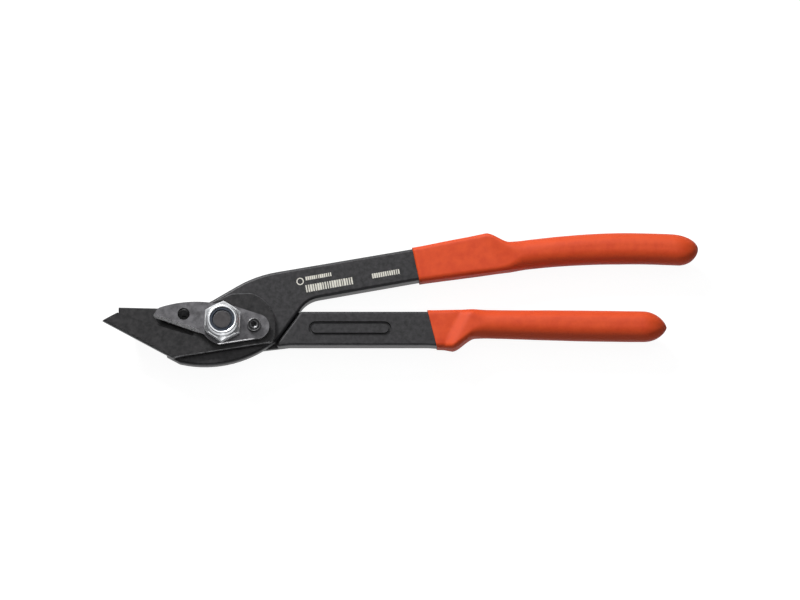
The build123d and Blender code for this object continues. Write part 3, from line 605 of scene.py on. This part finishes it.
@dataclass(frozen=True)
class Ring:
    """One ring of a turned or milled profile, in millimetres.

    Attributes:
        radius: of the turned surface.
        height: above the table.
        flat: half the width across flats of the hexagon that cuts it, or 0 for none.
        cone: how far the ring climbs for each millimetre that its hexagon reaches past the flats.
    """

    radius: float
    height: float
    flat: float = 0.0
    cone: float = 0.0

    def at(self, angle: float, hex_turn: float) -> Vector:
        """Find one point of the ring.

        Args:
            angle: about the axis, in radians.
            hex_turn: angle of the hexagon's first corner, in degrees.

        Returns:
            The point from the axis, in millimetres.
        """
        reach, height = self.radius, self.height
        if self.flat:
            off = (math.degrees(angle) - hex_turn) % 60 - 30
            reach = min(reach, self.flat / math.cos(math.radians(off)))
            height += self.cone * (reach - self.flat)
        return Vector((reach * math.cos(angle), reach * math.sin(angle), height))


@dataclass(frozen=True)
class Turned:
    """A fastener made of rings about an upright axis.

    Attributes:
        name: the piece's name.
        centre: the axis, in millimetres.
        rings: from one pole or bore edge round to the other.
        hex_turn: angle of the first corner between two flats.
        segments: points in each ring.
        closed: whether the last ring joins the first, as in a nut.
        sharp: degrees past which an edge stays sharp.
    """

    name: str
    centre: Point2
    rings: Sequence[Ring]
    hex_turn: float = 0.0
    segments: int = 96
    closed: bool = False
    sharp: float = 32.0

    def build(self) -> bpy.types.Object:
        """Build the mesh from its rings, closed by a pole at each end or by joining the ends.

        Returns:
            The fastener at the origin.
        """
        bm = bmesh.new()
        loops = []
        for ring in self.rings:
            loop = []
            for i in range(self.segments):
                angle = 2 * math.pi * i / self.segments + math.radians(self.hex_turn)
                loop.append(bm.verts.new((Vector((*self.centre, 0)) + ring.at(angle, self.hex_turn)) * MM))
            loops.append(loop)
        pairs = list(zip(loops, loops[1:]))
        if self.closed:
            pairs.append((loops[-1], loops[0]))
        for one, two in pairs:
            for i in range(self.segments):
                j = (i + 1) % self.segments
                bm.faces.new((one[i], one[j], two[j], two[i]))
        if not self.closed:
            for loop in (loops[0], loops[-1]):
                pole = bm.verts.new(sum((v.co for v in loop), Vector()) / self.segments)
                for i, vert in enumerate(loop):
                    bm.faces.new((vert, loop[(i + 1) % self.segments], pole))
        return object_from(bm, self.name, self.sharp)


@dataclass(frozen=True)
class LockNut:
    """The zinc-plated lock nut: chamfered hexagon, rolled collar and a bore. Millimetres."""

    node: str = "lock_nut"
    foot: float = 27.15
    half_flats: float = 9.0
    hex_height: float = 8.6
    height: float = 11.99
    bore: float = 6.05
    collar: float = 7.9
    opening: float = 6.2
    insert: float = 7.0
    lip: float = 0.6
    turn: float = 26.7

    def rings(self) -> list[Ring]:
        """The nut's profile from its bore's foot outwards, up over the collar and back down.

        Returns:
            Its rings in order.
        """
        z, flat, top = self.foot, self.half_flats, self.foot + self.height
        shoulder = z + self.hex_height
        rings = [Ring(self.bore, z + 0.6), Ring(self.bore + 0.6, z), Ring(8.9, z)]
        rings += [
            Ring(WHOLE_HEXAGON, z + 0.06, flat, cone=0.577),
            Ring(WHOLE_HEXAGON, z + 0.2, flat, cone=0.6),
            Ring(WHOLE_HEXAGON, shoulder - 0.84, flat, cone=-0.85),
            Ring(WHOLE_HEXAGON, shoulder - 0.72, flat - 0.06, cone=-0.82),
        ]
        rings += [Ring(8.5, shoulder - 0.25), Ring(8.2, shoulder - 0.04)]
        rings += [Ring(self.collar + 0.1, shoulder + 0.08), Ring(self.collar, shoulder + 0.35)]
        rings += [Ring(self.collar, top - 1.5)]
        for a in range(10, 91, 10):
            angle = math.radians(a)
            rings.append(Ring(self.collar - 1.05 * (1 - math.cos(angle)), top - 1.2 * (1 - math.sin(angle))))
        rings += [Ring(self.opening + 0.3, top - 0.02), Ring(self.opening + 0.08, top - 0.12)]
        rings += [Ring(self.opening, top - 0.3), Ring(self.opening, top - self.lip)]
        rings += [Ring(self.insert, top - self.lip), Ring(self.insert, shoulder), Ring(self.bore, shoulder)]
        return rings

    def build(self) -> bpy.types.Object:
        """Build, dress and mount the nut in place of its CAD node.

        Returns:
            The nut.
        """
        profile = self.rings()
        made = Turned(
            "lock_nut_body", (0.0, 0.0), profile, hex_turn=self.turn, segments=144, closed=True, sharp=24.0
        ).build()
        dress(made, ZINC.material())
        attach(made, Body.UPPER.value)
        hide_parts(self.node)
        return made


@dataclass(frozen=True)
class GuideScrew:
    """The socket screw that holds the guide plate: knurled head, a pale rim that is partly wear and partly a
    painted highlight, hexagon socket. Millimetres.
    """

    node: str = "guide_screw"
    centre: Point2 = (16.0, -1.2)
    seat: float = 27.15
    head_radius: float = 3.5
    head_height: float = 4.0
    knurl_depth: float = 0.13
    knurls: int = 40
    socket_flat: float = 1.5
    socket_depth: float = 2.0
    shank_radius: float = 2.0
    end: float = 15.05

    def rings(self) -> list[Ring]:
        """The screw's profile from the shank's end up to the socket's floor.

        Returns:
            Its rings in order.
        """
        core, top = self.head_radius - self.knurl_depth, self.seat + self.head_height
        floor = top - self.socket_depth
        corner = self.socket_flat / math.cos(math.radians(30))
        return [
            Ring(self.shank_radius - 0.35, self.end), Ring(self.shank_radius, self.end + 0.35),
            Ring(self.shank_radius, self.seat),
            Ring(core - 0.1, self.seat), Ring(core, self.seat + 0.1), Ring(core, top - 0.62),
            Ring(core - 0.04, top - 0.42), Ring(core - 0.18, top - 0.2), Ring(core - 0.42, top - 0.05),
            Ring(core - 0.68, top), Ring(corner + 0.32, top), Ring(corner + 0.12, top - 0.1),
            Ring(corner + 0.02, top - 0.3, self.socket_flat),
            Ring(corner + 0.02, floor, self.socket_flat), Ring(0.5, floor - 0.45),
        ]

    def knurl_tree(self, material: bpy.types.Material) -> bpy.types.NodeTree:
        """The Geometry Nodes tree that stands upright ridges round the head.

        Args:
            material: the ridges' material.

        Returns:
            The tree, with named inputs Count, Radius, Foot, Width and Height.
        """
        tree = grower("head_knurl", {
            "Count": int, "Radius": float, "Foot": float, "Width": float, "Height": float})
        given = add_node(tree, "NodeGroupInput").outputs
        circle = add_node(tree, "GeometryNodeMeshCircle", {
            "Vertices": given["Count"], "Radius": given["Radius"]})
        lift = add_node(tree, "ShaderNodeCombineXYZ", {
            "X": self.centre[0] * MM, "Y": self.centre[1] * MM, "Z": given["Foot"]})
        moved = add_node(tree, "GeometryNodeTransform", {
            "Geometry": circle.outputs[0], "Translation": lift.outputs[0]})
        ridge = add_node(tree, "GeometryNodeMeshCylinder", {
            "Vertices": 4, "Side Segments": 3, "Radius": given["Width"], "Depth": given["Height"]},
            fill_type="NGON")
        index = add_node(tree, "GeometryNodeInputIndex")
        share = add_node(tree, "ShaderNodeMath", {0: index.outputs[0], 1: given["Count"]}, operation="DIVIDE")
        turn = add_node(tree, "ShaderNodeMath", {0: share.outputs[0], 1: 2 * math.pi}, operation="MULTIPLY")
        facing = add_node(tree, "ShaderNodeCombineXYZ", {"Z": turn.outputs[0]})
        row = add_node(tree, "GeometryNodeInstanceOnPoints", {
            "Points": moved.outputs[0], "Instance": ridge.outputs["Mesh"], "Rotation": facing.outputs[0]})
        real = add_node(tree, "GeometryNodeRealizeInstances", {"Geometry": row.outputs[0]})
        done = add_node(tree, "GeometryNodeSetMaterial", {"Geometry": real.outputs[0], "Material": material})
        add_node(tree, "NodeGroupOutput", {"Geometry": done.outputs[0]})
        return tree

    def build(self) -> list[bpy.types.Object]:
        """Build the screw and its knurl, in place of the CAD node.

        Returns:
            The screw and the knurl.
        """
        screw = Turned("guide_screw_body", self.centre, self.rings(), hex_turn=30.0, segments=96).build()
        dress(screw, SCREW.material())
        height = self.head_height - 0.75
        knurl = grown("guide_screw_knurl", self.knurl_tree(SCREW.material()), {
            "Count": self.knurls,
            "Radius": (self.head_radius - 0.23) * MM,
            "Foot": (self.seat + 0.12 + height / 2) * MM,
            "Width": 0.22 * MM,
            "Height": height * MM,
        })
        for piece in (screw, knurl):
            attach(piece, Body.UPPER.value)
        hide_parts(self.node)
        return [screw, knurl]


def grower(name: str, inputs: dict[str, type]) -> bpy.types.NodeTree:
    """Start a Geometry Nodes tree that makes its own geometry.

    Args:
        name: the tree's name.
        inputs: each named input, as int or float.

    Returns:
        The tree, with its inputs and one Geometry output.
    """
    tree = bpy.data.node_groups.new(name, "GeometryNodeTree")
    for label, kind in inputs.items():
        socket = "NodeSocketInt" if kind is int else "NodeSocketFloat"
        tree.interface.new_socket(label, in_out="INPUT", socket_type=socket)
    tree.interface.new_socket("Geometry", in_out="OUTPUT", socket_type="NodeSocketGeometry")
    return tree


def grown(name: str, tree: bpy.types.NodeTree, values: dict[str, Union[int, float]]) -> bpy.types.Object:
    """Evaluate a Geometry Nodes tree into a plain mesh object at the origin.

    Args:
        name: the piece's name.
        tree: a tree that makes its own geometry.
        values: its named inputs.

    Returns:
        An object with the realised mesh and no modifier.
    """
    carrier = bpy.data.objects.new(name + "_carrier", bpy.data.meshes.new(name + "_carrier"))
    bpy.context.scene.collection.objects.link(carrier)
    modifier = carrier.modifiers.new("grow", "NODES")
    modifier.node_group = tree
    for item in tree.interface.items_tree:
        if item.item_type == "SOCKET" and item.in_out == "INPUT" and item.name in values:
            modifier[item.identifier] = values[item.name]
    graph = bpy.context.evaluated_depsgraph_get()
    mesh = bpy.data.meshes.new_from_object(carrier.evaluated_get(graph), depsgraph=graph)
    mesh.name = name
    made = bpy.data.objects.new(name, mesh)
    bpy.context.scene.collection.objects.link(made)
    bpy.data.objects.remove(carrier)
    return made


# ---------------------------------------------------------------- printed marks


@dataclass(frozen=True)
class TallyRow:
    """A row of printed ink bars on the upper bar's front face. Millimetres and degrees."""

    name: str
    start: Point2
    count: int
    pitch: float
    height: float
    seed: int
    angle: float = 10.1
    face: float = 19.55
    ink: float = 0.02

    def tree(self, material: bpy.types.Material) -> bpy.types.NodeTree:
        """The Geometry Nodes tree that sets bars of varied width at one pitch.

        Args:
            material: the ink.

        Returns:
            The tree, with named inputs Count, Pitch, Height, Ink and Seed.
        """
        tree = grower(self.name, {"Count": int, "Pitch": float, "Height": float, "Ink": float, "Seed": int})
        given = add_node(tree, "NodeGroupInput").outputs
        step = add_node(tree, "ShaderNodeCombineXYZ", {"X": given["Pitch"]})
        line = add_node(tree, "GeometryNodeMeshLine", {"Count": given["Count"], "Offset": step.outputs[0]})
        bar = add_node(tree, "GeometryNodeMeshCube")
        size = add_node(tree, "ShaderNodeCombineXYZ", {
            "X": given["Pitch"], "Y": given["Height"], "Z": given["Ink"]})
        tree.links.new(size.outputs[0], bar.inputs["Size"])
        width = add_node(tree, "FunctionNodeRandomValue", {"Seed": given["Seed"]})
        width.inputs[2].default_value, width.inputs[3].default_value = 0.4, 0.86
        scale = add_node(tree, "ShaderNodeCombineXYZ", {"X": width.outputs[1], "Y": 1.0, "Z": 1.0})
        row = add_node(tree, "GeometryNodeInstanceOnPoints", {
            "Points": line.outputs[0], "Instance": bar.outputs["Mesh"], "Scale": scale.outputs[0]})
        real = add_node(tree, "GeometryNodeRealizeInstances", {"Geometry": row.outputs[0]})
        placed = add_node(tree, "GeometryNodeTransform", {
            "Geometry": real.outputs[0],
            "Translation": (self.start[0] * MM, self.start[1] * MM, self.face * MM),
            "Rotation": (0.0, 0.0, math.radians(self.angle)),
        })
        done = add_node(tree, "GeometryNodeSetMaterial", {
            "Geometry": placed.outputs[0], "Material": material})
        add_node(tree, "NodeGroupOutput", {"Geometry": done.outputs[0]})
        return tree

    def build(self) -> bpy.types.Object:
        """Build the row and let it ride on the upper lever.

        Returns:
            The row.
        """
        made = grown(self.name, self.tree(INK.material()), {
            "Count": self.count,
            "Pitch": self.pitch * MM,
            "Height": self.height * MM,
            "Ink": 2 * self.ink * MM,
            "Seed": self.seed,
        })
        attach(made, Body.UPPER.value)
        return made


@dataclass(frozen=True)
class InkRing:
    """A printed ink ring on the upper bar's front face. Millimetres."""

    name: str = "printed_ring"
    centre: Point2 = (39.4, 22.9)
    inner: float = 1.35
    outer: float = 1.9
    face: float = 19.55
    ink: float = 0.02

    def build(self) -> bpy.types.Object:
        """Build the ring as a thin washer and let it ride on the upper lever.

        Returns:
            The ring.
        """
        low, high = self.face - self.ink, self.face + self.ink
        rings = [Ring(self.inner, low), Ring(self.outer, low), Ring(self.outer, high), Ring(self.inner, high)]
        made = Turned(self.name, self.centre, rings, segments=64, closed=True).build()
        dress(made, INK.material())
        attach(made, Body.UPPER.value)
        return made


MARKS = (
    InkRing(),
    TallyRow("printed_row_small", (42.6, 24.4), 13, 1.05, 1.9, 3),
    TallyRow("printed_row_large", (42.7, 19.1), 20, 1.24, 3.7, 8),
    TallyRow("printed_row_side", (76.6, 25.7), 13, 1.12, 2.5, 5),
)


# ---------------------------------------------------------------- studio


@dataclass(frozen=True)
class Studio:
    """The pale table, soft lights and camera. Metres."""

    aim: tuple[float, float, float] = (0.0905, 0.01404, 0.015)
    elevation: float = 80.0
    distance: float = 4.0
    width_seen: float = 0.4096
    sensor: float = 36.0

    def softbox(self, name: str, place: tuple[float, float, float], size: float, power: float) -> None:
        """Hang a square soft light that faces the tool.

        Args:
            name: the light's name.
            place: where it hangs.
            size: its side.
            power: in watts.
        """
        light = bpy.data.lights.new(name, "AREA")
        light.shape, light.size, light.energy = "SQUARE", size, power
        made = bpy.data.objects.new(name, light)
        made.location = place
        made.rotation_mode = "QUATERNION"
        made.rotation_quaternion = (Vector(self.aim) - Vector(place)).to_track_quat("-Z", "Y")
        bpy.context.scene.collection.objects.link(made)

    def table(self) -> None:
        """Lay the table as a thin white slab that glows a little, like a light table."""
        bm = bmesh.new()
        bmesh.ops.create_cube(bm, size=1.0)
        bmesh.ops.scale(bm, vec=(6.0, 6.0, 0.02), verts=bm.verts)
        bmesh.ops.translate(bm, vec=(0.0, 0.0, -0.01), verts=bm.verts)
        made = object_from(bm, "table", 30.0)
        white = bpy.data.materials.new("pale_table")
        white.use_nodes = True
        shader = white.node_tree.nodes["Principled BSDF"]
        shader.inputs["Base Color"].default_value = srgb("#767676")
        shader.inputs["Roughness"].default_value = 0.9
        shader.inputs["Emission Color"].default_value = srgb("#ffffff")
        shader.inputs["Emission Strength"].default_value = 0.94
        made.visible_diffuse = False
        dress(made, white)

    def build(self) -> None:
        """Set up the table, lights, surroundings and camera."""
        self.table()
        self.softbox("key", (-0.6, 1.25, 1.2), 0.5, 38.0)
        self.softbox("overhead_fill", (0.15, 0.3, 1.6), 1.2, 6.0)
        self.softbox("near_card", (0.1, -1.5, 0.3), 0.5, 2.5)
        world = bpy.data.worlds.new("surroundings")
        world.use_nodes = True
        world.node_tree.nodes["Background"].inputs["Color"].default_value = srgb("#b4b6b8")
        world.node_tree.nodes["Background"].inputs["Strength"].default_value = 0.12
        bpy.context.scene.world = world
        bpy.context.scene.view_settings.view_transform = "Standard"
        camera = bpy.data.cameras.new("camera")
        camera.sensor_width = self.sensor
        camera.lens = self.sensor * self.distance / self.width_seen
        camera.clip_end = 20.0
        made = bpy.data.objects.new("camera", camera)
        e = math.radians(self.elevation)
        back = Vector((0.0, -math.cos(e), math.sin(e)))
        made.location = Vector(self.aim) + back * self.distance
        made.rotation_mode = "QUATERNION"
        made.rotation_quaternion = (-back).to_track_quat("-Z", "Y")
        bpy.context.scene.collection.objects.link(made)
        bpy.context.scene.camera = made


@dataclass(frozen=True)
class CarriedNodes:
    """The CAD nodes that keep their meshes, with the finish that each gets."""

    finishes: dict[str, Finish] = field(default_factory=lambda: {
        "upper_handle": FORGED_STEEL, "lower_handle": FORGED_STEEL, "foot_blade": BLADE_STEEL,
        "upper_blade": BLADE_STEEL, "guide_plate": GUIDE_STEEL, "pivot_bolt": BOLT_STEEL,
        "pivot_washer": ZINC, "lock_nut_insert": NYLON, "blade_screws": SCREW})

    def build(self) -> list[bpy.types.Object]:
        """Dress every carried node.

        Returns:
            The nodes.
        """
        for node, finish in self.finishes.items():
            dress(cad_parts[node], finish.material())
        return [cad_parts[node] for node in self.finishes]


def main() -> None:
    """Build every piece and the studio, and report each piece."""
    logging.basicConfig(level=logging.INFO, format="%(message)s")
    bpy.context.view_layer.update()
    made = CarriedNodes().build()
    made += [UPPER_GRIP.build(), LOWER_GRIP.build(), LockNut().build(), *GuideScrew().build()]
    made += [row.build() for row in MARKS]
    Studio().build()
    for piece in made:
        LOG.info("%s: %d faces", piece.name, len(piece.data.polygons))
    bpy.context.view_layer.update()


if __name__ == "__main__":
    main()
